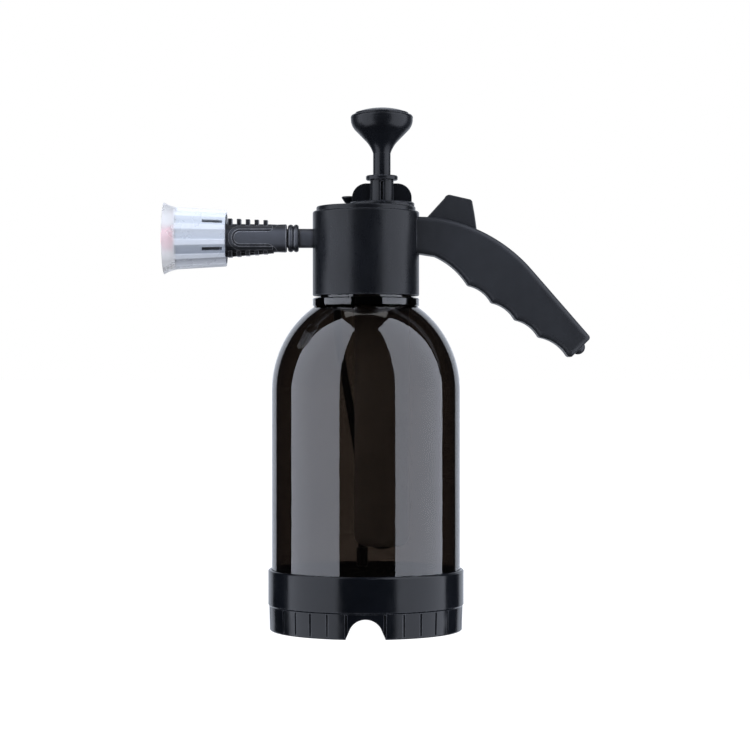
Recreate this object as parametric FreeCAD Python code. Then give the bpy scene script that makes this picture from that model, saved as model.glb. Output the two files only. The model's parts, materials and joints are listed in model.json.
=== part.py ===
import FreeCAD, Part
import math
import os

# Two-litre hand-pump foam sprayer. Millimetres.
# Origin on the bottle's axis where the base ring stands; +Z up, nozzle towards -X, handle towards +X.

V = FreeCAD.Vector
X_AXIS = V(1, 0, 0)
Y_AXIS = V(0, 1, 0)
Z_AXIS = V(0, 0, 1)

# ---- driving dimensions ----

# base ring
BASE_R = 61.5
BASE_TOP = 38.0
BASE_WALL = 2.0
SKIRT_TOP = 16.0
SKIRT_R = 60.6
GROOVE_COUNT = 32
GROOVE_WIDTH = 1.5
GROOVE_DEPTH = 0.9
NOTCH_WIDTH = 18.4
NOTCH_HEIGHT = 12.4
NOTCH_FLARE = 3.0

# bottle
BOTTLE_R = 59.2
BOTTLE_WALL = 1.4
BOTTLE_FOOT = 15.0
SHOULDER_Z = 150.0
SHOULDER_RISE = 63.3
RING_R = 33.5
RING_Z0 = 203.0
RING_Z1 = 208.4
NECK_BORE_R = 28.4
NECK_R = 29.9
NECK_TOP = 230.0

# screw threads
NECK_PITCH = 5.0
NECK_THREAD_DEPTH = 1.1
PUMP_PITCH = 4.0
PUMP_THREAD_DEPTH = 0.9
THREAD_TURNS = 2.0
NECK_THREAD_Z = 212.0
PUMP_THREAD_Z = 251.5

# head
HEAD_R = 33.5
HEAD_Z0 = 209.8
HEAD_Z1 = 263.0
SKIRT_BORE_R = 31.5
DECK_Z0 = 231.5
DECK_Z1 = 234.5
CHAMBER_R = 31.8
LIP_Z = 258.0
LIP_R = 30.0
COVER_R = 31.2
COVER_Z1 = 266.0

# pump
PUMP_X = 10.0
CYLINDER_R = 17.2
CYLINDER_BORE_R = 15.4
CYLINDER_Z0 = 52.5
CYLINDER_Z1 = 262.0
SEAT_R = 17.5
O_RING_BORE_R = 19.95
SOCKET_R = 18.5
SOCKET_WALL_R = 19.7
CAP_FLANGE_R = 20.5
CAP_Z0 = 266.6
CAP_Z1 = 268.6
COLLAR_R = 7.4
COLLAR_Z1 = 282.5
CAP_TOP_R = 10.0
CAP_TOP = 285.5
WING_SPAN = 37.6
WING_TOP = 280.6
WING_THICK = 2.6
SLEEVE_Z0 = 236.0
ROD_R = 4.6
ROD_GUIDE_R = 4.66
ROD_Z0 = 59.8
ROD_TOP = 308.0
PISTON_Z0 = 62.0
PISTON_Z1 = 78.0
PISTON_R = 15.1
KNOB_Z0 = 285.8
KNOB_NECK_R = 5.5
KNOB_R = 19.5
KNOB_RIM_Z = 324.0
KNOB_TOP = 328.2
CAP_DISC_R = 16.8
CAP_DISC_Z = 321.5
CAP_SHOULDER_Z = 325.5

# trigger valve, spout and nozzle, all on one horizontal axis
NOZZLE_Z = 246.0
YOKE_HALF = 2.0
YOKE_BORE_R = 17.6
YOKE_R = 19.4
YOKE_LEFT_X = 7.3
YOKE_RIGHT_X = 10.1
STEM_R = 1.6
CHAMBER_BORE_R = 5.0
CHAMBER_TUBE_R = 7.2
SEAT_X = -27.5
GLAND_X = -13.6
SPOUT_R = 6.05
SPOUT_END_X = -45.2
NUT_R = 8.6
NUT_X0 = -42.4
NUT_X1 = -49.0
BODY_X0 = -49.8
BODY_X1 = -88.0
BODY_R = 8.9
CAP_X0 = -87.8
FLARE_X = -118.7
MOUTH_X = -127.0
CAP_R0 = 17.7
CAP_R1 = 19.5
MOUTH_R = 22.6
CAP_WALL = 1.8
FLUTE_COUNT = 12
FLUTE_PHASE = 35.0
SLOT_COUNT = 6
RIB_COUNT = 5
RIB_X = -63.1
RIB_PITCH = 5.57
RIB_WIDTH = 2.5

# handle and lever
HANDLE_HALF = 11.0
CAVITY_HALF = 6.6
LEVER_HALF = 6.0
ARM_HALF = 2.8
PIVOT = (66.0, 247.0)
ARM_END = (66.0, 239.0)
PIN_R = 2.0
GRIP_START = (64.0, 216.2)
GRIP_END = (108.5, 183.6)
HANDLE_TIP = (127.5, 169.9)
HANDLE_HEEL = (141.1, 183.3)
PLUG_R = 4.6
HANDLE_ROUND = 3.5

# relief valve
RELIEF_X = -10.5
RELIEF_Y = 15.5
RELIEF_SPRING_TOP = 252.0

# dip tube
TUBE_R = 2.6
TUBE_BORE_R = 1.8
DIP_X = -18.0
DIP_TOP = 240.0
DIP_END = V(-2.5, 21.5, 47.0)


# ---- helpers ----

def drum(radius, z0, z1, x=0.0, y=0.0):
    """Upright cylinder between two heights."""
    return Part.makeCylinder(radius, z1 - z0, V(x, y, z0))


def tube(radius, bore, z0, z1, x=0.0, y=0.0):
    """Upright tube between two heights."""
    return drum(radius, z0, z1, x, y).cut(drum(bore, z0 - 1, z1 + 1, x, y))


def bar(radius, x0, x1, z=NOZZLE_Z):
    """Cylinder along the nozzle's axis."""
    start = min(x0, x1)
    return Part.makeCylinder(radius, abs(x1 - x0), V(start, 0, z), X_AXIS)


def sleeve(radius, bore, x0, x1):
    """Tube along the nozzle's axis."""
    start = min(x0, x1) - 1
    end = max(x0, x1) + 1
    return bar(radius, x0, x1).cut(bar(bore, start, end))


def block(x0, x1, y0, y1, z0, z1):
    """Box between two corners."""
    return Part.makeBox(x1 - x0, y1 - y0, z1 - z0, V(x0, y0, z0))


def wire(start, steps):
    """Closed outline in the XZ plane; a step is an end point, or (via, end) for an arc."""
    edges = []
    here = V(start[0], 0, start[1])
    for step in list(steps) + [start]:
        if isinstance(step[0], tuple):
            via = V(step[0][0], 0, step[0][1])
            end = V(step[1][0], 0, step[1][1])
            edges.append(Part.Arc(here, via, end).toShape())
        else:
            end = V(step[0], 0, step[1])
            if end.distanceToPoint(here) > 1e-7:
                edges.append(Part.LineSegment(here, end).toShape())
        here = end
    return Part.Wire(edges)


def prism(start, steps, half, y=0.0):
    """Outline in the XZ plane given thickness along Y, half each way."""
    face = Part.Face(wire(start, steps))
    solid = face.extrude(V(0, 2 * half, 0))
    solid.translate(V(0, y - half, 0))
    return solid


def turned(start, steps, x=0.0, y=0.0):
    """Outline of (radius, height) turned about an upright axis."""
    face = Part.Face(wire(start, steps))
    solid = face.revolve(V(0, 0, 0), Z_AXIS, 360)
    solid.translate(V(x, y, 0))
    return solid


def lathe(start, steps):
    """Outline of (x, height) turned about the nozzle's axis."""
    face = Part.Face(wire(start, steps))
    return face.revolve(V(0, 0, NOZZLE_Z), X_AXIS, 360)


def above(radius):
    """Height of a radius above the nozzle's axis."""
    return NOZZLE_Z + radius


def crown(radius, edge_z, top_z):
    """Middle point of a dome's arc, from its edge to its top on the axis."""
    rise = top_z - edge_z
    ball_r = (radius ** 2 + rise ** 2) / (2 * rise)
    half_angle = math.asin(radius / ball_r) / 2
    return (ball_r * math.sin(half_angle), top_z - ball_r + ball_r * math.cos(half_angle))


def joined(first, others):
    """One solid from several that touch or overlap."""
    return first.multiFuse(list(others)).removeSplitter()


def around(solid, count, centre, axis, skip=()):
    """Copies of a solid spaced evenly about an axis."""
    copies = []
    for index in range(count):
        if index in skip:
            continue
        copy = solid.copy()
        copy.rotate(centre, axis, 360.0 * index / count)
        copies.append(copy)
    return copies


def thread(radius, depth, pitch, z0, x=0.0, inward=False):
    """Helical ridge on an upright cylinder, or on the wall of a bore if inward."""
    root = 0.22 * pitch
    tip = 0.12 * pitch
    sink = 0.3
    side = -1 if inward else 1
    inner = radius - side * sink
    outer = radius + side * depth
    corners = [V(inner, 0, -root), V(outer, 0, -tip), V(outer, 0, tip), V(inner, 0, root)]
    profile = Part.makePolygon(corners + corners[:1])
    spine = Part.Wire(Part.makeHelix(pitch, pitch * THREAD_TURNS, radius))
    ridge = spine.makePipeShell([profile], True, True)
    ridge.translate(V(x, 0, z0))
    return ridge


def coil(radius, wire_r, length, turns):
    """Helical spring with its axis on Z, from height 0."""
    spine = Part.Wire(Part.makeHelix(length / turns, length, radius))
    section = Part.Wire(Part.makeCircle(wire_r, V(radius, 0, 0), Y_AXIS))
    return spine.makePipeShell([section], True, True)


# ---- bottle and base ----

def bottle_form(side_r, neck_r, foot, top, corner, dome):
    """Solid of revolution of the bottle's outside or inside."""
    rise = SHOULDER_RISE - (BOTTLE_R - side_r)
    major = V(0, 0, SHOULDER_Z + rise)
    ellipse = Part.Ellipse(major, V(side_r, 0, SHOULDER_Z), V(0, 0, SHOULDER_Z))
    quarter = math.pi / 2
    shoulder = Part.ArcOfEllipse(ellipse, math.asin(neck_r / side_r), quarter).toShape()
    root_z = SHOULDER_Z + rise * math.sqrt(1 - (neck_r / side_r) ** 2)
    stand_r = side_r - corner
    cut = corner * (1 - math.sqrt(0.5))
    corner_mid = V(side_r - cut, 0, foot + cut)
    dome_x, dome_z = crown(stand_r, foot, foot + dome)
    edges = [
        shoulder,
        Part.LineSegment(V(side_r, 0, SHOULDER_Z), V(side_r, 0, foot + corner)).toShape(),
        Part.Arc(V(side_r, 0, foot + corner), corner_mid, V(stand_r, 0, foot)).toShape(),
        Part.Arc(V(stand_r, 0, foot), V(dome_x, 0, dome_z), V(0, 0, foot + dome)).toShape(),
        Part.LineSegment(V(0, 0, foot + dome), V(0, 0, top)).toShape(),
        Part.LineSegment(V(0, 0, top), V(neck_r, 0, top)).toShape(),
        Part.LineSegment(V(neck_r, 0, top), V(neck_r, 0, root_z)).toShape(),
    ]
    face = Part.Face(Part.Wire(Part.__sortEdges__(edges)))
    return face.revolve(V(0, 0, 0), Z_AXIS, 360)


def bottle():
    """Blown bottle with support ring and threaded neck."""
    outside = bottle_form(BOTTLE_R, NECK_R, BOTTLE_FOOT, NECK_TOP, 8.0, 8.0)
    inside = bottle_form(
        BOTTLE_R - BOTTLE_WALL, NECK_BORE_R, BOTTLE_FOOT + BOTTLE_WALL, NECK_TOP + 1, 7.0, 8.0
    )
    ring = turned(
        (NECK_BORE_R + 0.5, RING_Z0),
        [(RING_R - 0.8, RING_Z0), (RING_R, RING_Z0 + 0.8), (RING_R, RING_Z1 - 0.6),
         (RING_R - 0.6, RING_Z1), (NECK_BORE_R + 0.5, RING_Z1)],
    )
    ridge = thread(NECK_R, NECK_THREAD_DEPTH, NECK_PITCH, NECK_THREAD_Z)
    return joined(outside, [ring, ridge]).cut(inside)


def base_ring():
    """Stand ring with a ledge for the bottle, a grooved skirt and a notch front and back."""
    inner = BASE_R - BASE_WALL
    ring = turned(
        (SKIRT_R - 2.2, 0.6),
        [(SKIRT_R - 1.6, 0), (SKIRT_R - 0.6, 0), (SKIRT_R - 0.1, 0.6), (SKIRT_R + 0.3, SKIRT_TOP - 0.6),
         (BASE_R, SKIRT_TOP + 0.3), (BASE_R, BASE_TOP - 1.2), ((BASE_R - 0.3, BASE_TOP - 0.3),
         (BASE_R - 1.2, BASE_TOP)), (inner, BASE_TOP), (inner, BOTTLE_FOOT), (47.0, BOTTLE_FOOT),
         (47.0, BOTTLE_FOOT - 2), (SKIRT_R - 2.2, BOTTLE_FOOT - 2)],
    )
    side = GROOVE_WIDTH / 2
    groove = block(SKIRT_R - GROOVE_DEPTH, BASE_R + 1, -side, side, 1.2, SKIRT_TOP - 1.0)
    quarter = GROOVE_COUNT // 4
    grooves = around(groove, GROOVE_COUNT, V(0, 0, 0), Z_AXIS, skip=(quarter, 3 * quarter))
    half = NOTCH_WIDTH / 2
    foot = half + NOTCH_FLARE
    spring_z = NOTCH_HEIGHT - 5.4
    haunch_x = 0.64 * half
    haunch_z = NOTCH_HEIGHT - 1.8
    notch = prism(
        (-foot, -1.0),
        [(-foot, 0.0), (-half, spring_z), ((-haunch_x, haunch_z), (0, NOTCH_HEIGHT)),
         ((haunch_x, haunch_z), (half, spring_z)), (foot, 0.0), (foot, -1.0)],
        BASE_R + 5,
    )
    return ring.cut(grooves + [notch])


def neck_gasket():
    """Flat ring between the neck's rim and the head's deck."""
    return tube(SKIRT_BORE_R - 0.4, NECK_BORE_R + 0.2, NECK_TOP, DECK_Z0)


# ---- head ----

def head_body():
    """Screw head: skirt, deck, valve chamber and the upper chamber for the yoke."""
    shell = turned(
        (SKIRT_BORE_R, HEAD_Z0),
        [(HEAD_R - 0.5, HEAD_Z0), (HEAD_R, HEAD_Z0 + 0.5), (HEAD_R, HEAD_Z1 - 1.4),
         ((HEAD_R - 0.4, HEAD_Z1 - 0.4), (HEAD_R - 1.4, HEAD_Z1)), (LIP_R, HEAD_Z1), (LIP_R, LIP_Z),
         (CHAMBER_R, LIP_Z - 1.5), (CHAMBER_R, DECK_Z1), (0, DECK_Z1), (0, DECK_Z0), (SKIRT_BORE_R, DECK_Z0)],
    )
    seat_wall = drum(O_RING_BORE_R + 1.1, DECK_Z1 - 0.5, DECK_Z1 + 4, PUMP_X)
    chamber = bar(CHAMBER_TUBE_R, -HEAD_R + 1, GLAND_X)
    dip_boss = drum(TUBE_R + 2, DECK_Z0 - 2, NOZZLE_Z, DIP_X)
    relief_wall = drum(4.4, DECK_Z1 - 0.5, DECK_Z1 + 5, RELIEF_X, RELIEF_Y)
    ridge = thread(SKIRT_BORE_R, NECK_THREAD_DEPTH, NECK_PITCH, NECK_THREAD_Z + NECK_PITCH / 2, inward=True)
    body = joined(shell, [seat_wall, chamber, dip_boss, relief_wall, ridge])
    bores = [
        drum(SEAT_R, DECK_Z0 - 1, DECK_Z1 + 5, PUMP_X),
        drum(O_RING_BORE_R, DECK_Z1, DECK_Z1 + 5, PUMP_X),
        bar(CHAMBER_BORE_R, GLAND_X + 1, SEAT_X),
        bar(SPOUT_R, SEAT_X, -HEAD_R - 1),
        drum(TUBE_R, DECK_Z0 - 3, DIP_TOP, DIP_X),
        drum(TUBE_BORE_R, DIP_TOP - 1, NOZZLE_Z, DIP_X),
        drum(1.3, DECK_Z0 - 1, DECK_Z1 + 1, RELIEF_X, RELIEF_Y),
        drum(3.6, DECK_Z1, DECK_Z1 + 6, RELIEF_X, RELIEF_Y),
        block(CHAMBER_R - 3, HEAD_R + 1, -5.3, 5.3, 242.6, 249.2),
    ]
    return body.cut(bores)


def top_cover():
    """Round cover let into the head's top, with the pump's screw socket and the relief valve's guide."""
    spigot_bore = LIP_R - 1.6
    lid = turned(
        (spigot_bore, LIP_Z - 2),
        [(LIP_R - 0.1, LIP_Z - 2), (LIP_R - 0.1, HEAD_Z1), (COVER_R, HEAD_Z1), (COVER_R, COVER_Z1 - 1),
         ((COVER_R - 0.3, COVER_Z1 - 0.3), (COVER_R - 1, COVER_Z1)), (0, COVER_Z1), (0, HEAD_Z1),
         (spigot_bore, HEAD_Z1)],
    )
    socket = drum(SOCKET_WALL_R, 250.0, HEAD_Z1 + 0.5, PUMP_X)
    guide = drum(4.0, RELIEF_SPRING_TOP, HEAD_Z1 + 0.5, RELIEF_X, RELIEF_Y)
    body = joined(lid, [socket, guide])
    body = body.cut([
        drum(SOCKET_R, 249.0, COVER_Z1 + 1, PUMP_X),
        drum(STEM_R + 0.06, RELIEF_SPRING_TOP - 1, COVER_Z1 + 1, RELIEF_X, RELIEF_Y),
    ])
    ridge = thread(
        SOCKET_R, PUMP_THREAD_DEPTH - 0.1, PUMP_PITCH, PUMP_THREAD_Z + PUMP_PITCH / 2, PUMP_X, inward=True
    )
    return joined(body, [ridge])


def grip_point(step, lift=0.0):
    """Point along the finger side: step counts the grooves, lift goes into the handle."""
    run_x = (GRIP_END[0] - GRIP_START[0]) / 3
    run_z = (GRIP_END[1] - GRIP_START[1]) / 3
    length = math.hypot(run_x, run_z)
    return (GRIP_START[0] + step * run_x - lift * run_z / length,
            GRIP_START[1] + step * run_z + lift * run_x / length)


def handle_blank():
    """Side outline of the handle given its width and rounded edges."""
    grooves = []
    for step in (3, 2, 1):
        grooves.append((grip_point(step - 0.5, 2.1), grip_point(step - 1)))
    last_groove = (grip_point(3.55, 2.9), grip_point(3))
    blank = prism(
        (30.0, 259.3),
        [(41.0, 259.0), ((75.0, 248.8), (104.0, 226.0)), HANDLE_HEEL, HANDLE_TIP, last_groove] + grooves
        + [((54.0, 227.8), (43.0, 234.6)), (30.0, 236.6)],
        HANDLE_HALF,
    )
    corners = [edge for edge in blank.Edges if is_corner(edge)]
    blank = blank.makeFillet(2.2, corners)
    rims = [edge for edge in blank.Edges if is_rim(edge)]
    return blank.makeFillet(HANDLE_ROUND, rims)


def is_corner(edge):
    """True for an edge across the handle at a finger bump or at the end face."""
    box = edge.BoundBox
    across = box.YLength > 2 * HANDLE_HALF - 0.1 and box.XLength < 0.1 and box.ZLength < 0.1
    return across and box.XMin > 60.0 and box.ZMin < 220.0


def is_rim(edge):
    """True for an edge of the handle's flat sides, apart from its end inside the head."""
    box = edge.BoundBox
    flat = box.YLength < 0.01 and abs(abs(box.YMin) - HANDLE_HALF) < 0.01
    return flat and box.XMax > 31.0


def handle():
    """Curved handle with the lever's slot, pin sockets and a cored end."""
    body = handle_blank().cut(drum(HEAD_R, 200.0, 270.0))
    slot = block(36.6, 71.4, -CAVITY_HALF, CAVITY_HALF, 240.5, 265.0)
    cavity = prism(
        (31.0, 240.4),
        [(31.0, 256.5), (45.0, 256.5), (75.0, 243.5), (75.0, 235.2), (54.0, 235.2), (48.0, 240.4)],
        CAVITY_HALF,
    )
    sockets = Part.makeCylinder(PIN_R, 2 * HANDLE_HALF - 4, V(PIVOT[0], -HANDLE_HALF + 2, PIVOT[1]), Y_AXIS)
    core = Part.makeCylinder(PLUG_R - 0.4, 52.0, end_centre(2.0), -end_normal())
    return body.cut([slot, cavity, sockets, core])


def end_normal():
    """Outward direction of the handle's end face."""
    across = V(HANDLE_HEEL[0] - HANDLE_TIP[0], 0, HANDLE_HEEL[1] - HANDLE_TIP[1])
    return V(across.z, 0, -across.x).normalize()


def end_centre(out=0.0):
    """Middle of the handle's end face, moved outward."""
    middle = V((HANDLE_HEEL[0] + HANDLE_TIP[0]) / 2, 0, (HANDLE_HEEL[1] + HANDLE_TIP[1]) / 2)
    return middle + end_normal() * out


def handle_end_plug():
    """Domed plug that closes the handle's core."""
    ball = Part.makeSphere(PLUG_R, end_centre(-1.3))
    keep = Part.makeCylinder(PLUG_R + 1, 10.0, end_centre(0.0), end_normal())
    shank = Part.makeCylinder(PLUG_R - 0.4, 10.0, end_centre(0.2), -end_normal())
    return joined(ball.common(keep), [shank])


def thumb_lever():
    """Thumb lever on its pin, with the arm that pulls the yoke."""
    pad = prism(
        (38.4, 259.0),
        [(49.3, 271.0), ((50.7, 272.7), (52.8, 273.1)), (64.6, 270.4), ((66.3, 269.6), (66.9, 268.0)),
         (68.1, 261.5), (69.6, 251.0), (PIVOT[0] + 4.2, PIVOT[1]),
         ((PIVOT[0], PIVOT[1] - 4.2), (PIVOT[0] - 4.2, PIVOT[1])), (57.5, 249.6), (39.2, 255.2)],
        LEVER_HALF,
    )
    edges = [edge for edge in pad.Edges if is_lever_rim(edge)]
    pad = pad.makeFillet(0.9, edges)
    arm = block(ARM_END[0] - 2, ARM_END[0] + 2, -ARM_HALF, ARM_HALF, ARM_END[1], PIVOT[1])
    toe = Part.makeCylinder(2.4, 2 * ARM_HALF, V(ARM_END[0], -ARM_HALF, ARM_END[1]), Y_AXIS)
    hole = Part.makeCylinder(PIN_R + 0.05, 4 * LEVER_HALF, V(PIVOT[0], -2 * LEVER_HALF, PIVOT[1]), Y_AXIS)
    return joined(pad, [arm, toe]).cut(hole)


def is_lever_rim(edge):
    """True for an edge of the lever's sides above the handle."""
    box = edge.BoundBox
    flat = box.YLength < 0.01 and abs(abs(box.YMin) - LEVER_HALF) < 0.01
    return flat and box.ZMax > 262.0


def lever_pin():
    """Steel pin across the handle's root."""
    length = 2 * HANDLE_HALF - 4
    return Part.makeCylinder(PIN_R, length, V(PIVOT[0], -length / 2, PIVOT[1]), Y_AXIS)


# ---- trigger valve ----

def stadium(radius, z0, z1):
    """Round-ended slab about the two centres of the yoke's ring."""
    middle = block(YOKE_LEFT_X, YOKE_RIGHT_X, -radius, radius, z0, z1)
    return joined(drum(radius, z0, z1, YOKE_LEFT_X), [drum(radius, z0, z1, YOKE_RIGHT_X), middle])


def valve_yoke():
    """Ring round the pump cylinder, with a tongue to the lever's arm."""
    low = NOZZLE_Z - YOKE_HALF
    high = NOZZLE_Z + YOKE_HALF
    ring = stadium(YOKE_R, low, high).cut(stadium(YOKE_BORE_R, low - 1, high + 1))
    tongue = prism(
        (28.4, low),
        [(28.4, high), (44.0, 246.6), (60.0, ARM_END[1] + 1.5), (72.0, ARM_END[1] + 1.5),
         (72.0, ARM_END[1] - 1.5), (59.0, ARM_END[1] - 1.5), (43.0, 243.2)],
        4.5,
    )
    window = block(ARM_END[0] - 2.6, ARM_END[0] + 2.6, -3.1, 3.1, 230.0, 250.0)
    left = YOKE_LEFT_X - YOKE_BORE_R
    pocket = bar(3.0, left, left + 4)
    return joined(ring, [tongue.cut(window)]).cut([pocket, bar(STEM_R, left - 4, left + 1)])


def valve_stem():
    """Stem with a spring flange at its seal end and a head behind the yoke."""
    left = YOKE_LEFT_X - YOKE_BORE_R
    return lathe(
        (-25.4, above(0)),
        [(-25.4, above(3.8)), (-24.0, above(3.8)), (-24.0, above(STEM_R)), (left, above(STEM_R)),
         (left, above(2.9)), (left + 1.2, above(2.9)), (left + 1.2, above(0))],
    )


def valve_seal():
    """Rubber disc on the stem's end."""
    return bar(4.2, SEAT_X, -25.4)


def valve_spring():
    """Coil behind the stem's flange."""
    spring = coil(2.7, 0.35, 4.0, 3)
    spring.rotate(V(0, 0, 0), Y_AXIS, 90)
    spring.translate(V(-23.6, 0, NOZZLE_Z))
    return spring


def valve_gland():
    """Plug in the chamber's end that guides the stem."""
    bore = STEM_R + 0.05
    return lathe(
        (-15.3, above(bore)),
        [(-15.3, above(3.25)), (-17.0, above(3.25)), (-17.0, above(CHAMBER_BORE_R)),
         (GLAND_X, above(CHAMBER_BORE_R)), (GLAND_X, above(7.0)), (-12.7, above(7.0)), (-12.7, above(bore))],
    )


def stem_o_ring():
    """O-ring round the stem, in the gland."""
    return Part.makeTorus(2.45, 0.78, V(-16.15, 0, NOZZLE_Z), X_AXIS)


# ---- relief valve ----

def relief_knob():
    """Pull knob, stem and foot in one."""
    return turned(
        (0, 236.0),
        [(3.2, 236.0), (3.2, 237.5), (STEM_R, 237.5), (STEM_R, 269.0), (3.0, 269.6), (5.0, 272.6),
         ((4.9, 273.3), (4.2, 273.6)), (0, 273.8)],
        RELIEF_X, RELIEF_Y,
    )


def relief_seal():
    """Rubber disc under the foot."""
    return drum(3.2, DECK_Z1, 236.0, RELIEF_X, RELIEF_Y)


def relief_spring():
    """Coil between the foot and the cover's guide."""
    foot = 237.5
    wire_r = 0.35
    length = RELIEF_SPRING_TOP - foot - 2 * wire_r
    spring = coil(2.5, wire_r, length, 6)
    spring.translate(V(RELIEF_X, RELIEF_Y, foot + wire_r))
    return spring


# ---- dip tube ----

def bent_path(points, radius):
    """Straight runs through points, joined by tangent arcs."""
    edges = []
    here = points[0]
    for before, corner, after in zip(points, points[1:], points[2:]):
        back = (before - corner).normalize()
        ahead = (after - corner).normalize()
        half_turn = (math.pi - back.getAngle(ahead)) / 2
        trim = radius * math.tan(half_turn)
        start = corner + back * trim
        end = corner + ahead * trim
        inward = (back + ahead).normalize()
        middle = corner + inward * (radius / math.cos(half_turn) - radius)
        edges.append(Part.LineSegment(here, start).toShape())
        edges.append(Part.Arc(start, middle, end).toShape())
        here = end
    edges.append(Part.LineSegment(here, points[-1]).toShape())
    return Part.Wire(edges)


def dip_tube():
    """Suction tube from the valve chamber, round the back of the pump cylinder, to the bottom."""
    points = [V(DIP_X, 0, DIP_TOP), V(DIP_X, 0, 185.0), V(DIP_END.x, DIP_END.y, 95.0), DIP_END]
    path = bent_path(points, 110.0)
    solids = []
    for radius in (TUBE_R, TUBE_BORE_R):
        disc = Part.Face(Part.Wire(Part.makeCircle(radius, points[0], Z_AXIS)))
        solids.append(path.makePipe(disc))
    return solids[0].cut(solids[1])


def dip_tube_filter():
    """Slotted strainer on the tube's end."""
    end_z = DIP_END.z
    body = turned(
        (0, end_z - 9.5),
        [(2.6, end_z - 9.5), (3.6, end_z - 8.5), (3.6, end_z + 3), (TUBE_R, end_z + 3), (TUBE_R, end_z),
         (TUBE_BORE_R, end_z), (TUBE_BORE_R, end_z - 8), (0, end_z - 8)],
        DIP_END.x, DIP_END.y,
    )
    centre = V(DIP_END.x, DIP_END.y, 0)
    slot = block(DIP_END.x, DIP_END.x + 5, DIP_END.y - 0.5, DIP_END.y + 0.5, end_z - 7, end_z - 1)
    return body.cut(around(slot, 6, centre, Z_AXIS))


# ---- pump ----

def pump_cylinder():
    """Cylinder with a round-cornered floor, air holes and a threaded top."""
    low = CYLINDER_Z0
    floor = low + 2.4
    body = turned(
        (0, low),
        [(CYLINDER_R - 7, low), ((CYLINDER_R - 2.05, low + 2.05), (CYLINDER_R, low + 7)),
         (CYLINDER_R, CYLINDER_Z1), (CYLINDER_BORE_R, CYLINDER_Z1), (CYLINDER_BORE_R, floor + 4),
         ((CYLINDER_BORE_R - 1.2, floor + 1.2), (CYLINDER_BORE_R - 4, floor)), (0, floor)],
        PUMP_X,
    )
    ridge = thread(CYLINDER_R, PUMP_THREAD_DEPTH, PUMP_PITCH, PUMP_THREAD_Z, PUMP_X)
    hole = drum(1.0, low - 1, floor + 1, PUMP_X + 4)
    holes = around(hole, 6, V(PUMP_X, 0, 0), Z_AXIS)
    return joined(body, [ridge]).cut(holes + [drum(1.5, low - 1, floor + 1, PUMP_X)])


def check_valve():
    """Rubber umbrella under the cylinder's floor."""
    low = CYLINDER_Z0
    return turned(
        (0, low - 2.2),
        [(crown(6.5, low - 0.5, low - 2.2), (6.5, low - 0.5)), (6.3, low), (1.45, low), (1.45, low + 2.5),
         (2.3, low + 2.6), (1.2, low + 4.6), (0, low + 4.6)],
        PUMP_X,
    )


def pump_o_ring():
    """Seal between the cylinder and the head's deck."""
    return Part.makeTorus(CYLINDER_R + 1.35, 1.3, V(PUMP_X, 0, DECK_Z1 + 1.35), Z_AXIS)


def pump_washer():
    """Flat washer under the pump cap's flange."""
    return tube(CAP_FLANGE_R - 0.2, SOCKET_R + 0.2, COVER_Z1, CAP_Z0, PUMP_X)


def pump_cap():
    """Cap keyed to the cylinder: flange, slotted collar, finger wings and the rod's guide."""
    flange = turned(
        (0, CAP_Z0),
        [(CAP_FLANGE_R, CAP_Z0), (CAP_FLANGE_R, CAP_Z1 - 0.7), (CAP_FLANGE_R - 0.7, CAP_Z1), (0, CAP_Z1)],
        PUMP_X,
    )
    spigot = tube(CYLINDER_BORE_R - 0.1, CYLINDER_BORE_R - 1.9, 254.0, CAP_Z0 + 0.5, PUMP_X)
    collar = drum(COLLAR_R, SLEEVE_Z0, COLLAR_Z1 + 0.5, PUMP_X)
    top = turned(
        (0, COLLAR_Z1),
        [(CAP_TOP_R - 0.6, COLLAR_Z1), (CAP_TOP_R, COLLAR_Z1 + 0.6), (CAP_TOP_R, CAP_TOP - 0.6),
         (CAP_TOP_R - 0.6, CAP_TOP), (0, CAP_TOP)],
        PUMP_X,
    )
    half = WING_SPAN / 2
    flat = half - 9
    drop = WING_TOP - 9.1
    bend = 9 * math.sqrt(0.5)
    wings = prism(
        (PUMP_X - half, CAP_Z1 - 0.5),
        [(PUMP_X - half, drop), ((PUMP_X - flat - bend, drop + bend), (PUMP_X - flat, WING_TOP)),
         (PUMP_X + flat, WING_TOP), ((PUMP_X + flat + bend, drop + bend), (PUMP_X + half, drop)),
         (PUMP_X + half, CAP_Z1 - 0.5)],
        WING_THICK / 2,
    )
    body = joined(flange, [spigot, collar, top, wings])
    slot = block(PUMP_X - 0.8, PUMP_X + 0.8, -9.0, -5.6, CAP_Z1 + 1.2, COLLAR_Z1 - 1.0)
    return body.cut([drum(ROD_GUIDE_R, SLEEVE_Z0 - 1, CAP_TOP + 1, PUMP_X), slot])


def pump_rod():
    """Hollow rod with a shoulder above the piston and a groove for its clip."""
    return turned(
        (0, ROD_Z0),
        [(ROD_R, ROD_Z0), (ROD_R, PISTON_Z0 - 1.8), (ROD_R - 0.7, PISTON_Z0 - 1.8),
         (ROD_R - 0.7, PISTON_Z0 - 0.3), (ROD_R, PISTON_Z0 - 0.3), (ROD_R, PISTON_Z1 + 0.2),
         (7.5, PISTON_Z1 + 0.2), (7.5, PISTON_Z1 + 2), (ROD_R, PISTON_Z1 + 2), (ROD_R, ROD_TOP),
         (ROD_R - 1.6, ROD_TOP), (ROD_R - 1.6, PISTON_Z1), (0, PISTON_Z1)],
        PUMP_X,
    )


def rod_clip():
    """Open push-on ring that holds the piston on the rod."""
    ring = tube(7.5, ROD_R - 0.7, PISTON_Z0 - 1.75, PISTON_Z0 - 0.35, PUMP_X)
    return ring.cut(block(PUMP_X + 2, PUMP_X + 9, -1.5, 1.5, ROD_Z0, PISTON_Z0))


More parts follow.
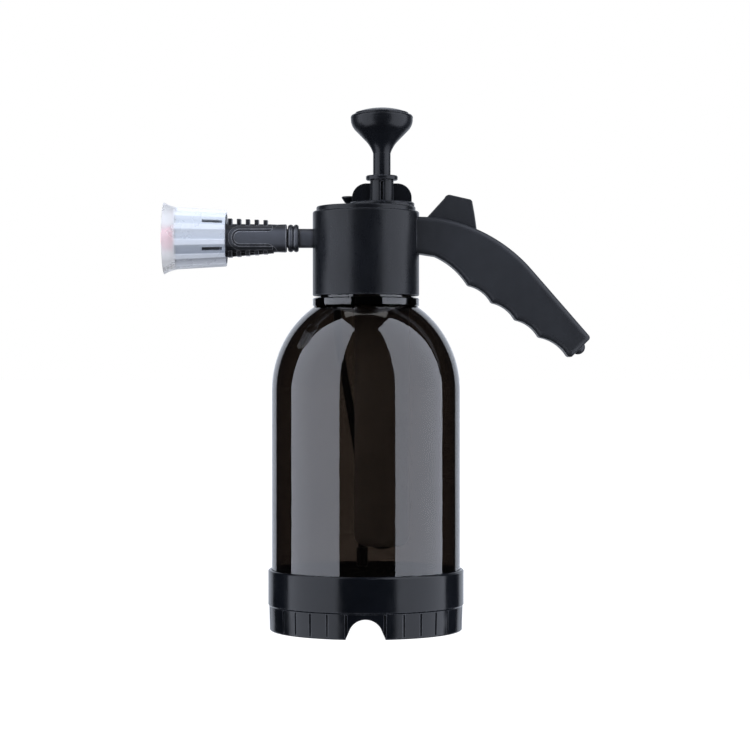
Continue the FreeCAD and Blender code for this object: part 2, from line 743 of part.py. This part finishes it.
def piston():
    """Piston with a seal groove, free to turn on the rod."""
    groove_r = PISTON_R - 2.9
    return turned(
        (ROD_GUIDE_R, PISTON_Z0),
        [(PISTON_R - 0.8, PISTON_Z0), (PISTON_R, PISTON_Z0 + 0.8), (PISTON_R, PISTON_Z0 + 4),
         (groove_r, PISTON_Z0 + 4), (groove_r, PISTON_Z0 + 9.5), (PISTON_R, PISTON_Z0 + 9.5),
         (PISTON_R, PISTON_Z0 + 12.5), (8.6, PISTON_Z0 + 13.5), (8.6, PISTON_Z1), (ROD_GUIDE_R, PISTON_Z1)],
        PUMP_X,
    )


def piston_seal():
    """Cup seal with a lip that lets air past on the up stroke."""
    groove_r = PISTON_R - 2.9
    low = PISTON_Z0 + 4.1
    return turned(
        (groove_r, low + 1.5),
        [(groove_r, low + 5.3), (PISTON_R - 0.6, low + 5.3), (CYLINDER_BORE_R - 0.05, low),
         (CYLINDER_BORE_R - 0.9, low), (PISTON_R - 1.6, low + 2.0), (groove_r + 0.9, low + 1.5)],
        PUMP_X,
    )


def pump_knob():
    """Mushroom knob on the rod's top."""
    return turned(
        (ROD_R, KNOB_Z0),
        [(KNOB_NECK_R, KNOB_Z0), (KNOB_NECK_R, 299.5), ((7.0, 303.0), (9.8, 306.9)), (16.3, 313.6),
         ((18.7, 317.0), (KNOB_R, 321.3)), ((KNOB_R - 0.3, 323.2), (KNOB_R - 1.6, KNOB_RIM_Z)),
         (CAP_DISC_R + 0.1, KNOB_RIM_Z - 0.4), (CAP_DISC_R + 0.1, CAP_DISC_Z), (0, CAP_DISC_Z),
         (0, ROD_TOP), (ROD_R, ROD_TOP)],
        PUMP_X,
    )


def knob_cap():
    """Domed disc set into the knob's top."""
    return turned(
        (0, CAP_DISC_Z),
        [(CAP_DISC_R, CAP_DISC_Z), (CAP_DISC_R, CAP_SHOULDER_Z - 0.9),
         ((CAP_DISC_R - 0.3, CAP_SHOULDER_Z - 0.3), (CAP_DISC_R - 1.0, CAP_SHOULDER_Z)),
         (crown(CAP_DISC_R - 1.0, CAP_SHOULDER_Z, KNOB_TOP), (0, KNOB_TOP))],
        PUMP_X,
    )


# ---- spout and nozzle ----

def spout_tube():
    """Spout pressed into the head; its inner end is the valve's seat."""
    return sleeve(SPOUT_R, 3.0, SEAT_X, SPOUT_END_X)


def swivel_nut():
    """Union nut with two rounded ribs, trapping the nozzle's tail flange."""
    return lathe(
        (NUT_X0, above(SPOUT_R)),
        [(NUT_X0, above(NUT_R - 0.8)), ((-43.9, above(NUT_R + 0.1)), (-45.5, above(NUT_R - 1.1))),
         ((-47.3, above(NUT_R + 0.1)), (NUT_X1, above(NUT_R - 0.8))), (NUT_X1, above(6.08)),
         (-48.1, above(6.08)), (-48.1, above(7.25)), (SPOUT_END_X, above(7.25)),
         (SPOUT_END_X, above(SPOUT_R))],
    )


def swivel_seal():
    """O-ring between the spout's end and the nozzle's tail flange."""
    return Part.makeTorus(4.6, 0.62, V(SPOUT_END_X - 0.7, 0, NOZZLE_Z), X_AXIS)


def raised(outline, cutter_r, skin):
    """Raised feature on both sides of the nozzle body: an outline on a drum of a given radius."""
    start, steps = outline
    form = prism(start, steps, 30.0)
    skin_drum = bar(cutter_r + skin, BODY_X0, BODY_X1)
    return form.common(skin_drum)


def nozzle_rib(index):
    """One tooth above the body, and its twin below."""
    centre = RIB_X - index * RIB_PITCH
    rise = 0.045 * index * RIB_PITCH
    top = block(centre - RIB_WIDTH / 2, centre + RIB_WIDTH / 2, -4.5, 4.5, NOZZLE_Z, above(11.3 + rise))
    foot = NOZZLE_Z - 10.0 - 2 * rise
    low = block(centre - RIB_WIDTH / 2, centre + RIB_WIDTH / 2, -4.5, 4.5, foot, NOZZLE_Z)
    return joined(top, [low])


def nozzle_body():
    """Nozzle body: tail, core, side rims, thumb pads, teeth and the front spigot."""
    core = lathe(
        (-46.6, above(2.6)),
        [(-46.6, above(7.1)), (-47.95, above(7.1)), (-47.95, above(6.0)), (BODY_X0, above(6.0)),
         (BODY_X0, above(BODY_R - 0.5)), (BODY_X0 - 0.6, above(BODY_R)), (-55.5, above(BODY_R - 0.2)),
         (-60.0, above(BODY_R)), (BODY_X1, above(BODY_R + 0.3)), (BODY_X1, above(13.0)),
         (BODY_X1 - 1.2, above(13.0)), (BODY_X1 - 1.2, above(8.0)), (-94.5, above(8.0)), (-94.5, above(4.2)),
         (-90.5, above(4.2)), (-90.5, above(2.6))],
    )
    rim_end = -78.8
    rim = 7.5
    outer = ((-58.5, above(rim)), [(rim_end, above(rim)), ((rim_end - rim, above(0)), (rim_end, above(-rim))),
                                   (-58.5, above(-rim))])
    slot = 5.3
    inner = ((-57.0, above(slot)), [(rim_end, above(slot)),
                                    ((rim_end - slot, above(0)), (rim_end, above(-slot))),
                                    (-57.0, above(-slot))])
    band = raised(outer, BODY_R, 0.9).cut(raised(inner, BODY_R, 2.0))
    pad_half = 3.9
    pad = ((BODY_X0 - 0.3, above(8.3)), [
        (-55.5, above(8.3)), ((-58.0, above(5.4)), (-61.5, above(pad_half))), (rim_end, above(pad_half)),
        ((rim_end - pad_half, above(0)), (rim_end, above(-pad_half))), (-61.5, above(-pad_half)),
        ((-58.0, above(-5.4)), (-55.5, above(-8.3))), (BODY_X0 - 0.3, above(-8.3))])
    thumb = raised(pad, BODY_R, 0.7)
    teeth = [nozzle_rib(index) for index in range(RIB_COUNT)]
    keel = prism(
        (-58.0, above(-8.0)), [(-58.0, above(-9.4)), (BODY_X1, above(-11.9)), (BODY_X1, above(-8.0))], 1.4
    )
    bore = bar(2.6, -46.0, -90.6)
    return joined(core, [band, thumb, keel] + teeth).cut(bore)


def nozzle_jet():
    """Spray jet in the body's front pocket."""
    return lathe(
        (-90.5, above(1.8)),
        [(-90.5, above(4.2)), (-94.5, above(4.2)), (-94.5, above(0.6)), (-93.4, above(0.6)),
         (-92.6, above(1.8))],
    )


def foam_tube():
    """Mixing tube with air ports, on the body's spigot."""
    body = lathe(
        (-91.6, above(8.0)),
        [(-91.6, above(10.5)), (-112.0, above(10.5)), (-120.0, above(8.4)), (-120.0, above(6.6)),
         (-114.5, above(6.6)), (-112.5, above(9.0)), (-94.5, above(9.0)), (-94.5, above(8.0))],
    )
    port = Part.makeCylinder(1.4, 12.0, V(-97.2, 0, NOZZLE_Z), Z_AXIS)
    return body.cut(around(port, SLOT_COUNT, V(0, 0, NOZZLE_Z), X_AXIS))


def foam_mesh():
    """Two mesh discs in the mixing tube."""
    discs = [bar(8.95, -101.0, -101.7), bar(8.95, -107.0, -107.7)]
    return Part.makeCompound(discs)


def foam_insert():
    """Coloured outlet ring that shows in the cap's mouth."""
    return lathe(
        (-114.8, above(5.0)),
        [(-114.8, above(6.55)), (-120.0, above(6.55)), (-120.0, above(7.45)), (-128.2, above(7.45)),
         (-128.6, above(7.0)), (-128.6, above(5.4))],
    )


def nozzle_cap():
    """Fluted cap with air slots, flaring to its mouth."""
    shell = lathe(
        (CAP_X0, above(CAP_R0 - CAP_WALL)),
        [(CAP_X0, above(CAP_R0 - 0.4)), (CAP_X0 - 0.4, above(CAP_R0)), (FLARE_X, above(CAP_R1)),
         ((-123.0, above(CAP_R1 + 1.1)), (MOUTH_X, above(MOUTH_R))), (MOUTH_X, above(MOUTH_R - 1.1)),
         ((-123.2, above(CAP_R1 - 0.6)), (FLARE_X - 0.4, above(CAP_R1 - CAP_WALL))),
         (-91.3, above(CAP_R0 - CAP_WALL + 0.2)), (-91.3, above(8.06)), (-89.5, above(8.06)),
         (-89.5, above(CAP_R0 - CAP_WALL))],
    )
    slope = math.degrees(math.atan2(CAP_R1 - CAP_R0, CAP_X0 - FLARE_X))
    cutter_r = 12.0
    flute = Part.makeCylinder(cutter_r, CAP_X0 - FLARE_X + 1, V(FLARE_X, 0, 0), X_AXIS)
    flute.rotate(V(FLARE_X, 0, 0), Y_AXIS, slope)
    flute.translate(V(0, 0, above(CAP_R1 + cutter_r - 0.8)))
    slot = block(-102.3, -89.8, -1.15, 1.15, above(12.0), above(24.0))
    centre = V(0, 0, NOZZLE_Z)
    turn = 90 - FLUTE_PHASE
    flute.rotate(centre, X_AXIS, turn)
    slot.rotate(centre, X_AXIS, turn)
    return shell.cut(around(flute, FLUTE_COUNT, centre, X_AXIS) + around(slot, SLOT_COUNT, centre, X_AXIS))


PARTS = [
    bottle, base_ring, neck_gasket, head_body, top_cover, handle, handle_end_plug, thumb_lever, lever_pin,
    valve_yoke, valve_stem, valve_seal, valve_spring, valve_gland, stem_o_ring, relief_knob, relief_seal,
    relief_spring, dip_tube, dip_tube_filter, pump_cylinder, check_valve, pump_o_ring, pump_washer, pump_cap,
    pump_rod, rod_clip, piston, piston_seal, pump_knob, knob_cap, spout_tube, swivel_nut, swivel_seal,
    nozzle_body, nozzle_jet, foam_tube, foam_mesh, foam_insert, nozzle_cap,
]


def main():
    os.makedirs("parts", exist_ok=True)
    for make in PARTS:
        shape = make()
        name = make.__name__
        solids = len(shape.Solids)
        print(f"{name:18s} solids {solids}  valid {shape.isValid()}  volume {shape.Volume:10.1f} mm3")
        shape.exportStep(f"parts/{name}.step")


if __name__ == "__main__":
    main()
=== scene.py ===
import json
import math

import bpy
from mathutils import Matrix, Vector

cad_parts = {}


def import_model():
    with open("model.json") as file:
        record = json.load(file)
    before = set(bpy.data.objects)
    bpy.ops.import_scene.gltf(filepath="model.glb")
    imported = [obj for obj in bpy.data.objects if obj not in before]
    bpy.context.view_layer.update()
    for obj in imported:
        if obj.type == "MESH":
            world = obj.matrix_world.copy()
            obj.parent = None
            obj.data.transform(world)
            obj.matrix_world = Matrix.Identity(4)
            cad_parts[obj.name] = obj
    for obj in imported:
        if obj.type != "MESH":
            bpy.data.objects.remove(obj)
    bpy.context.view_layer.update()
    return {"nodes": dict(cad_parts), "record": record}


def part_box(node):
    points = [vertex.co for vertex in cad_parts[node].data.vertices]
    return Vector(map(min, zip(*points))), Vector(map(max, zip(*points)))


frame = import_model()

# Looks of a two-litre foam sprayer. Metres, +Z up, nozzle towards -X, camera on the -Y side.

# ---- view ----
CAMERA_DISTANCE = 1.417
CAMERA_SIDE = 0.0057
CAMERA_HEIGHT = 0.160
CAMERA_LENS = 108.0

# ---- light ----
WALL_EDGE = 0.76
WALL_FULL = 0.81
WALL_COLOUR = (0.82, 0.88, 1.0)
DIM_COLOUR = (0.012, 0.013, 0.016)
ROOM = 1.15
FLOOR_HALF = 60.0
SOFTBOX_RADIANCE = 3.35
SOFTBOX_COLOUR = (0.90, 0.95, 1.08)
SOFTBOX_LEFT = 66.5
SOFTBOX_RIGHT = 70.5
SOFTBOX_HALF = 35.0
SOFTBOX_DISTANCE = 1.8
SOFTBOX_MIDDLE = 2.0
SOFTBOX_HEIGHT = 7.6
TOP_PLACE = (0, 0.25, 1.9)
TOP_AIM = (0, 0.0, 0.2)
TOP_WIDTH = 1.1
TOP_DEPTH = 0.35
TOP_RADIANCE = 1.3

# ---- nozzle and its cap ----
CAP_LOW, CAP_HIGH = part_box("nozzle_cap")
NOZZLE_Z = (CAP_LOW[2] + CAP_HIGH[2]) / 2
# PAD_HALF and PAD_FADE bound the nozzle's side pads: these keep painted light, and faces beyond them take
# painted shade.
PAD_HALF = 0.0038
PAD_FADE = 0.0062
FLARE_X = -0.1187
CAP_R_BACK = 0.0177
CAP_R_FLARE = 0.0195

# ---- bottle's tint ----
SMOKE_DENSITY = 1650.0
SMOKE_COLOUR = (0.15, 0.085, 0.03, 1.0)

# ---- tones that several finishes share ----
# Edge tones: partly wear, partly a painted highlight along convex edges.
WORN_AND_GLINT_BLACK = (0.09, 0.095, 0.11)
WORN_AND_GLINT_GREY = (0.16, 0.165, 0.18)

NODES = frame["nodes"]


# ---- node helpers ----

class Shader:
    """A material's node tree, with short calls for the nodes used here."""

    def __init__(self, name):
        self.material = bpy.data.materials.new(name)
        self.material.use_nodes = True
        self.tree = self.material.node_tree
        self.tree.nodes.clear()
        self.out = self.add("ShaderNodeOutputMaterial")
        self.surface = self.add("ShaderNodeBsdfPrincipled")
        self.link(self.surface.outputs["BSDF"], self.out.inputs["Surface"])
        self.place = self.add("ShaderNodeTexCoord").outputs["Object"]

    def add(self, kind, **values):
        node = self.tree.nodes.new(kind)
        for key, value in values.items():
            setattr(node, key, value)
        return node

    def link(self, output, socket):
        self.tree.links.new(output, socket)

    def noise(self, scale, detail=3.0, roughness=0.55, stretch=None):
        """Noise over the object; stretch squeezes it along each axis."""
        place = self.place
        if stretch:
            mapping = self.add("ShaderNodeMapping")
            mapping.inputs["Scale"].default_value = stretch
            self.link(place, mapping.inputs["Vector"])
            place = mapping.outputs["Vector"]
        node = self.add("ShaderNodeTexNoise")
        node.inputs["Scale"].default_value = scale
        node.inputs["Detail"].default_value = detail
        node.inputs["Roughness"].default_value = roughness
        self.link(place, node.inputs["Vector"])
        return node.outputs["Fac"]

    def remap(self, value, low, high, to_low, to_high):
        node = self.add("ShaderNodeMapRange")
        node.inputs["From Min"].default_value = low
        node.inputs["From Max"].default_value = high
        node.inputs["To Min"].default_value = to_low
        node.inputs["To Max"].default_value = to_high
        self.link(value, node.inputs["Value"])
        return node.outputs["Result"]

    def axes(self):
        """The point's X, Y and Z."""
        split = self.add("ShaderNodeSeparateXYZ")
        self.link(self.place, split.inputs["Vector"])
        return split.outputs

    def maths(self, operation, first, second=0.0):
        node = self.add("ShaderNodeMath", operation=operation)
        for socket, value in zip(node.inputs, (first, second)):
            if isinstance(value, (int, float)):
                socket.default_value = value
            else:
                self.link(value, socket)
        return node.outputs["Value"]

    def mix(self, factor, first, second):
        """Colour mix; each colour is a tuple or an output."""
        node = self.add("ShaderNodeMix", data_type="RGBA")
        if isinstance(factor, float):
            node.inputs["Factor"].default_value = factor
        else:
            self.link(factor, node.inputs["Factor"])
        for socket, value in ((node.inputs[6], first), (node.inputs[7], second)):
            if isinstance(value, tuple):
                socket.default_value = (*value, 1.0)
            else:
                self.link(value, socket)
        return node.outputs[2]

    def edges(self, radius=0.0006):
        """Mask that is 1 on convex edges and 0 on open faces."""
        bevel = self.add("ShaderNodeBevel", samples=4)
        bevel.inputs["Radius"].default_value = radius
        geometry = self.add("ShaderNodeNewGeometry")
        dot = self.add("ShaderNodeVectorMath", operation="DOT_PRODUCT")
        self.link(bevel.outputs["Normal"], dot.inputs[0])
        self.link(geometry.outputs["Normal"], dot.inputs[1])
        return self.remap(dot.outputs["Value"], 0.995, 0.90, 0.0, 1.0)

    def hollows(self, reach=0.002):
        """Mask that is 0 in narrow gaps and 1 in the open."""
        node = self.add("ShaderNodeAmbientOcclusion", samples=6)
        node.inputs["Distance"].default_value = reach
        return self.remap(node.outputs["AO"], 0.45, 0.95, 0.0, 1.0)

    def bump(self, height, distance, strength=1.0):
        node = self.add("ShaderNodeBump")
        node.inputs["Strength"].default_value = strength
        node.inputs["Distance"].default_value = distance
        self.link(height, node.inputs["Height"])
        self.link(node.outputs["Normal"], self.surface.inputs["Normal"])

    def set(self, **values):
        for key, value in values.items():
            self.surface.inputs[key.replace("_", " ")].default_value = value


def moulded_plastic(name, dark, light, rough, grain, worn_and_glint=WORN_AND_GLINT_GREY, level=0.5, painted_gap_shade=None):
    """Opaque moulded plastic: cloudy tone, fine grain, faint handling marks, and edges paled partly as wear
    and partly as a painted highlight.

    An optional dark tone paints shade into narrow gaps, and onto faces above and below the nozzle's side
    pads, so that the pads look lit.
    """
    shader = Shader(name)
    cloud = shader.noise(28.0, 4.0)
    speck = shader.noise(1400.0, 2.0)
    scuff = shader.noise(240.0, 5.0, 0.7, (1.0, 1.0, 0.25))
    tone = shader.mix(shader.remap(cloud, 0.35, 0.65, 0.0, 1.0), dark, light)
    # Convex edges paled toward the edge tone: scuff-broken wear plus a painted highlight.
    edge_wear_and_glint = shader.maths("MULTIPLY", shader.edges(), shader.remap(scuff, 0.35, 0.7, 0.15, 0.9))
    tone = shader.mix(edge_wear_and_glint, tone, worn_and_glint)
    if painted_gap_shade:
        # Painted shade: gaps found by ambient occlusion, and faces off the side pads, take the dark tone. The
        # pads stay lighter as painted light.
        off_axis = shader.maths("ABSOLUTE", shader.maths("SUBTRACT", shader.axes()["Z"], NOZZLE_Z))
        painted_pad_light = shader.remap(off_axis, PAD_HALF, PAD_FADE, 1.0, 0.12)
        tone = shader.mix(shader.maths("MULTIPLY", shader.hollows(), painted_pad_light), painted_gap_shade, tone)
        # Edges paled again over the painted shade: painted highlight lines along them.
        tone = shader.mix(shader.maths("MULTIPLY", edge_wear_and_glint, 0.8), tone, worn_and_glint)
    shader.link(tone, shader.surface.inputs["Base Color"])
    gloss = shader.maths("ADD", shader.remap(scuff, 0.3, 0.7, rough - 0.05, rough + 0.07),
                         shader.remap(speck, 0.3, 0.7, -0.02, 0.02))
    shader.link(gloss, shader.surface.inputs["Roughness"])
    height = shader.maths("ADD", speck, shader.maths("MULTIPLY", cloud, 0.6))
    shader.bump(height, grain)
    shader.set(Specular_IOR_Level=level)
    return shader.material


def smoked_plastic(name):
    """Clear smoked bottle wall: the brown-grey tint is in the wall's thickness."""
    shader = Shader(name)
    cloud = shader.noise(14.0, 3.0)
    tint = shader.mix(shader.remap(cloud, 0.35, 0.65, 0.0, 1.0), (0.88, 0.86, 0.84), (0.98, 0.97, 0.96))
    shader.link(tint, shader.surface.inputs["Base Color"])
    scuff = shader.noise(420.0, 4.0, 0.7, (1.0, 1.0, 0.2))
    shader.link(shader.remap(scuff, 0.45, 0.8, 0.0, 0.06), shader.surface.inputs["Roughness"])
    shader.bump(shader.noise(30.0, 2.0, 0.5, (1.0, 1.0, 0.35)), 0.0001, 0.5)
    shader.set(IOR=1.52, Transmission_Weight=1.0)
    smoke = shader.add("ShaderNodeVolumeAbsorption")
    smoke.inputs["Color"].default_value = SMOKE_COLOUR
    smoke.inputs["Density"].default_value = SMOKE_DENSITY
    shader.link(smoke.outputs["Volume"], shader.out.inputs["Volume"])
    return shader.material


def cap_plastic(name):
    """Nozzle cap: lands painted pale as a highlight and flutes left darker and bluish as painted shade, a
    clearer flare, and a milky body with painted top light: lightest on top, darkest just below the middle,
    lighter again at the very bottom.
    """
    shader = Shader(name)
    along, across, up = shader.axes()
    rise = shader.maths("SUBTRACT", up, NOZZLE_Z)
    square = shader.maths("ADD", shader.maths("MULTIPLY", across, across),
                          shader.maths("MULTIPLY", rise, rise))
    radius = shader.maths("SQRT", square)
    cone = shader.remap(along, FLARE_X, CAP_HIGH[0], CAP_R_FLARE, CAP_R_BACK)
    depth = shader.maths("SUBTRACT", cone, radius)
    land = shader.remap(depth, 0.00035, 0.00010, 0.0, 1.0)
    flare = shader.remap(along, FLARE_X + 0.0005, FLARE_X - 0.002, 0.0, 1.0)
    # Painted top light: the body's tone follows how high a point sits around the nozzle axis.
    height = shader.remap(shader.maths("DIVIDE", rise, radius), -1.0, 1.0, 0.0, 1.0)
    painted_toplight_ramp = shader.add("ShaderNodeValToRGB")
    toplight_stops = ((0.0, (0.42, 0.44, 0.49)), (0.20, (0.17, 0.19, 0.235)), (0.36, (0.25, 0.28, 0.33)),
             (0.60, (0.34, 0.37, 0.42)), (0.80, (0.34, 0.375, 0.425)), (1.0, (0.58, 0.61, 0.65)))
    for index, (place, colour) in enumerate(toplight_stops):
        stop = painted_toplight_ramp.color_ramp.elements[index] if index < 2 else painted_toplight_ramp.color_ramp.elements.new(place)
        stop.position = place
        stop.color = (*colour, 1.0)
    shader.link(height, painted_toplight_ramp.inputs["Fac"])
    cloud = shader.noise(90.0, 4.0)
    # Painted highlight on the raised lands. The flutes between keep the darker painted-shade tone.
    painted_land_highlight = shader.mix(cloud, (0.42, 0.455, 0.52), (0.52, 0.55, 0.61))
    tone = shader.mix(shader.maths("MULTIPLY", land, 0.75), painted_toplight_ramp.outputs["Color"], painted_land_highlight)
    tone = shader.mix(flare, tone, shader.mix(cloud, (0.60, 0.61, 0.63), (0.68, 0.69, 0.71)))
    shader.link(tone, shader.surface.inputs["Base Color"])
    shader.link(shader.remap(cloud, 0.3, 0.7, 0.24, 0.34), shader.surface.inputs["Roughness"])
    shader.link(shader.remap(flare, 0.0, 1.0, 0.16, 0.68), shader.surface.inputs["Transmission Weight"])
    shader.bump(shader.noise(500.0, 3.0), 0.00001)
    shader.set(IOR=1.48)
    return shader.material


def metal(name, colour, rough):
    """Drawn steel."""
    shader = Shader(name)
    lines = shader.noise(900.0, 3.0, 0.6, (1.0, 0.05, 1.0))
    tone = shader.mix(lines, colour, tuple(0.8 * c for c in colour))
    shader.link(tone, shader.surface.inputs["Base Color"])
    shader.link(shader.remap(lines, 0.3, 0.7, rough - 0.06, rough + 0.08), shader.surface.inputs["Roughness"])
    shader.bump(lines, 0.00001)
    shader.set(Metallic=1.0)
    return shader.material


def rubber(name):
    """Moulded black rubber."""
    shader = Shader(name)
    speck = shader.noise(700.0, 4.0)
    tone = shader.mix(speck, (0.012, 0.012, 0.012), (0.03, 0.03, 0.03))
    shader.link(tone, shader.surface.inputs["Base Color"])
    shader.link(shader.remap(speck, 0.3, 0.7, 0.5, 0.7), shader.surface.inputs["Roughness"])
    shader.bump(speck, 0.00003)
    return shader.material


def clad():
    """Gives every CAD node the material of its slot, or its own where its finish differs."""
    slots = {
        "smoked_plastic": smoked_plastic("smoked_bottle"),
        "black_plastic": moulded_plastic(
            "black_satin", (0.0022, 0.0026, 0.0036), (0.0036, 0.0043, 0.0060), 0.29, 0.000012,
            WORN_AND_GLINT_BLACK, 0.18),
        "handle_plastic": moulded_plastic(
            "grip_satin", (0.0100, 0.0110, 0.0135), (0.0130, 0.0145, 0.0180), 0.42, 0.00002,
            (0.10, 0.105, 0.12), 0.2),
        "milky_plastic": cap_plastic("milky_cap"),
        "red_plastic": moulded_plastic(
            "outlet_red", (0.70, 0.10, 0.17), (0.80, 0.16, 0.24), 0.35, 0.00001, (0.9, 0.4, 0.45)),
        "white_plastic": moulded_plastic(
            "natural_white", (0.62, 0.63, 0.63), (0.74, 0.74, 0.72), 0.4, 0.00001, (0.85, 0.85, 0.85)),
        "black_rubber": rubber("seal_rubber"),
        "steel": metal("drawn_steel", (0.55, 0.55, 0.56), 0.28),
        "grey_mesh": moulded_plastic(
            "woven_grey", (0.25, 0.26, 0.28), (0.34, 0.35, 0.37), 0.5, 0.00005, (0.5, 0.5, 0.5)),
    }
    gloss = moulded_plastic(
        "black_gloss", (0.0015, 0.0019, 0.0028), (0.0026, 0.0032, 0.0046), 0.15, 0.000004, WORN_AND_GLINT_BLACK, 0.18)
    # Nozzle parts: painted shade in gaps and off the side pads, and a painted highlight on edges.
    ribbed = moulded_plastic(
        "ribbed_grey", (0.028, 0.031, 0.040), (0.040, 0.044, 0.055), 0.36, 0.000012, (0.30, 0.31, 0.35), 0.5,
        painted_gap_shade=(0.004, 0.0045, 0.006))
    # Mixing tube: a darker grey, partly its own grey and partly painted shade for the dark slots of the cap
    # around it.
    mixing_tube_grey_and_shade = moulded_plastic(
        "mixing_grey_and_shade", (0.10, 0.105, 0.115), (0.14, 0.145, 0.155), 0.45, 0.00001, (0.25, 0.25, 0.26))
    tube = moulded_plastic(
        "suction_tube", (0.012, 0.0115, 0.011), (0.018, 0.017, 0.016), 0.3, 0.000008, (0.06, 0.06, 0.06), 0.3)
    own = {"base_ring": gloss, "nozzle_body": ribbed, "swivel_nut": ribbed, "spout_tube": ribbed,
           "foam_tube": mixing_tube_grey_and_shade, "dip_tube": tube}
    for part in frame["record"]["subparts"]:
        node = NODES[part["node"]]
        for slot in node.material_slots:
            slot.material = own.get(part["node"]) or slots[part["material_slot"]]


# ---- stage ----

def camera():
    """Long lens, level, on the -Y side."""
    data = bpy.data.cameras.new("camera")
    data.lens = CAMERA_LENS
    obj = bpy.data.objects.new("camera", data)
    obj.location = (CAMERA_SIDE, -CAMERA_DISTANCE, CAMERA_HEIGHT)
    obj.rotation_euler = (math.pi / 2, 0, 0)
    bpy.context.collection.objects.link(obj)
    bpy.context.scene.camera = obj


def floor():
    """Pale floor out to the horizon, left out of reflections."""
    mesh = bpy.data.meshes.new("floor")
    half = FLOOR_HALF
    corners = [(-half, -half, 0), (half, -half, 0), (half, half, 0), (-half, half, 0)]
    mesh.from_pydata(corners, [], [(0, 1, 2, 3)])
    obj = bpy.data.objects.new("floor", mesh)
    shader = Shader("floor_white")
    grain = shader.noise(40.0, 3.0)
    tone = shader.mix(grain, (0.10, 0.10, 0.10), (0.13, 0.13, 0.13))
    shader.link(tone, shader.surface.inputs["Base Color"])
    shader.set(Roughness=0.8, Emission_Color=(1, 1, 1, 1), Emission_Strength=1.0)
    mesh.materials.append(shader.material)
    bpy.context.collection.objects.link(obj)
    obj.visible_glossy = False


def world():
    """White room; its reflections are dark, but for the white wall behind the object."""
    studio = bpy.data.worlds.new("studio")
    bpy.context.scene.world = studio
    studio.use_nodes = True
    tree = studio.node_tree
    tree.nodes.clear()

    def add(kind, **values):
        node = tree.nodes.new(kind)
        for key, value in values.items():
            setattr(node, key, value)
        return node

    def background(strength, colour=(1.0, 1.0, 1.0)):
        node = add("ShaderNodeBackground")
        node.inputs["Color"].default_value = (*colour, 1.0)
        node.inputs["Strength"].default_value = strength
        return node.outputs["Background"]

    def mix(factor, first, second):
        node = add("ShaderNodeMixShader")
        tree.links.new(factor, node.inputs["Fac"])
        tree.links.new(first, node.inputs[1])
        tree.links.new(second, node.inputs[2])
        return node.outputs["Shader"]

    place = add("ShaderNodeTexCoord")
    split = add("ShaderNodeSeparateXYZ")
    tree.links.new(place.outputs["Generated"], split.inputs["Vector"])
    wall = add("ShaderNodeMapRange", interpolation_type="SMOOTHSTEP")
    wall.inputs["From Min"].default_value = WALL_EDGE
    wall.inputs["From Max"].default_value = WALL_FULL
    tree.links.new(split.outputs["Y"], wall.inputs["Value"])
    reflected = mix(wall.outputs["Result"], background(1.0, DIM_COLOUR), background(1.0, WALL_COLOUR))

    path = add("ShaderNodeLightPath")
    lit = mix(path.outputs["Is Diffuse Ray"], background(1.0), background(ROOM))
    straight = add("ShaderNodeMath", operation="SUBTRACT", use_clamp=True)
    tree.links.new(path.outputs["Is Glossy Ray"], straight.inputs[0])
    tree.links.new(path.outputs["Is Transmission Ray"], straight.inputs[1])
    out = add("ShaderNodeOutputWorld")
    tree.links.new(mix(straight.outputs["Value"], lit, reflected), out.inputs["Surface"])


def softbox(name, place, aim, width, height, radiance, colour=(1.0, 1.0, 1.0)):
    """Flat panel at place that faces aim and gives the radiance over its whole face."""
    data = bpy.data.lights.new(name, "AREA")
    data.shape = "RECTANGLE"
    data.size = width
    data.size_y = height
    data.energy = radiance * math.pi * width * height
    data.color = colour
    obj = bpy.data.objects.new(name, data)
    obj.location = place
    obj.rotation_euler = (Vector(aim) - Vector(place)).to_track_quat("-Z", "Y").to_euler()
    obj.visible_camera = False
    bpy.context.collection.objects.link(obj)


def lights():
    """Two tall panels beside the camera and a small one overhead."""
    far = SOFTBOX_DISTANCE
    width = 2 * far * math.tan(math.radians(SOFTBOX_HALF))
    for name, azimuth in (("softbox_left", -SOFTBOX_LEFT), ("softbox_right", SOFTBOX_RIGHT)):
        turn = math.radians(azimuth)
        place = (far * math.sin(turn), -far * math.cos(turn), SOFTBOX_MIDDLE)
        aim = (0, 0, SOFTBOX_MIDDLE)
        softbox(name, place, aim, width, SOFTBOX_HEIGHT, SOFTBOX_RADIANCE, SOFTBOX_COLOUR)
    softbox("softbox_top", TOP_PLACE, TOP_AIM, TOP_WIDTH, TOP_DEPTH, TOP_RADIANCE)


camera()
floor()
world()
lights()
clad()
bpy.context.scene.view_settings.view_transform = "Standard"
